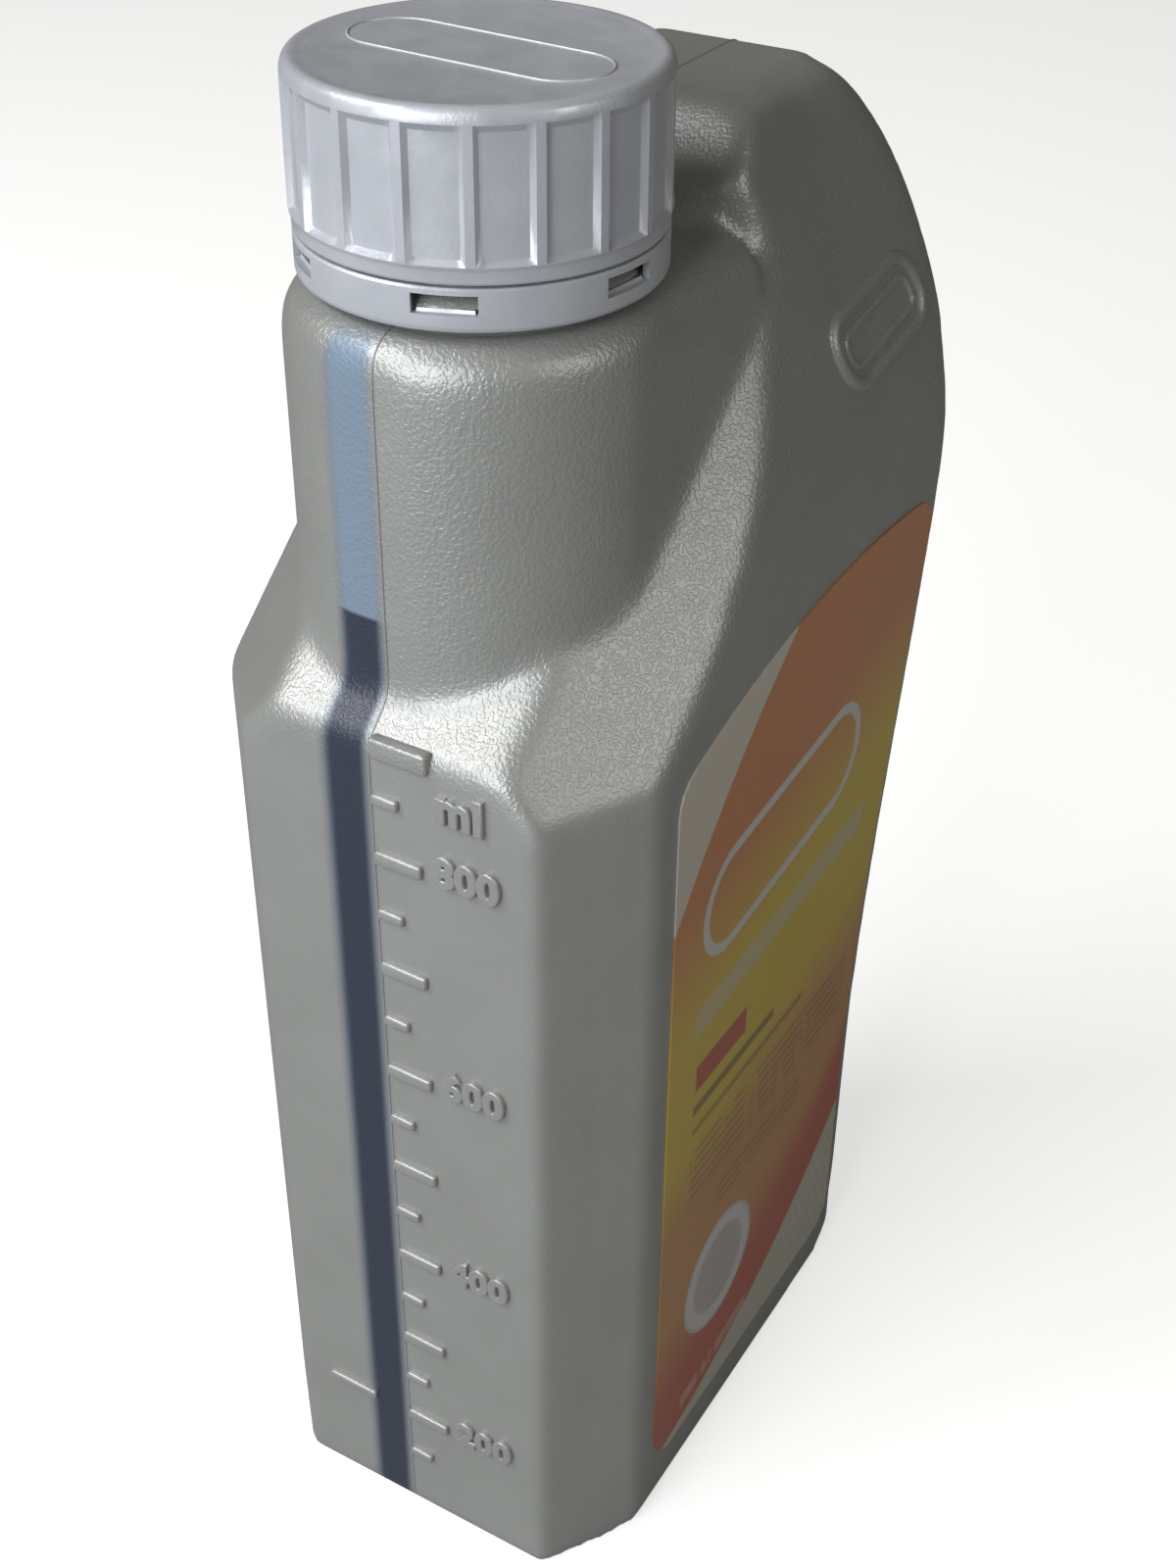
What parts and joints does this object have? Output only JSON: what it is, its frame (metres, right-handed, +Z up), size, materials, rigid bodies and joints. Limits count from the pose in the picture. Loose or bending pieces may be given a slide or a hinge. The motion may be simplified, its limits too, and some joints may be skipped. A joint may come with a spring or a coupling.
{
  "type": "transmission fluid bottle",
  "caption": "Flat blown fluid bottle with an offset spout, a view stripe, a raised scale and a ribbed screw cap over a tamper ring.",
  "frame": {"origin": "centre of the bottle's box, on the surface that it stands on", "axes": "+Z up along the bottle's height, +Y through its thickness, -X towards the scale face and the spout"},
  "size_m": [0.1106, 0.0694, 0.2319],
  "materials": {
    "bottle_plastic": "pearly silver-grey high-density polyethylene with a fine leather grain and soft edges",
    "fluid": "clear red oil",
    "foil": "bright smooth foil",
    "cap_plastic": "silver-lilac moulded plastic, half gloss with a fine grain",
    "wad": "matt white foam",
    "front_print": "glossy printed film in orange and yellow",
    "back_print": "glossy printed film with fields of fine lines"
  },
  "bodies": {
    "bottle_body": {"bottle": "bottle_plastic", "transmission_fluid": "fluid", "foil_seal": "foil", "tamper_ring": "cap_plastic", "front_label": "front_print", "back_label": "back_print"},
    "wad_body": {"cap_liner": "wad"},
    "cap_body": {"screw_cap": "cap_plastic"}
  },
  "joints": [
    {"name": "cap_turn", "type": "hinge", "parent": "wad_body", "child": "cap_body", "pos_m": [-0.02505, 0, 0.212], "axis": [0, 0, 1], "range_deg": [0, 720]},
    {"name": "cap_rise", "type": "slide", "parent": "bottle_body", "child": "wad_body", "axis": [0, 0, 1], "range_m": [0, 0.0084]}
  ],
  "couplings": [
    {"joint": "cap_rise", "follows": "cap_turn", "m_per_rad": 0.00066845}
  ]
}
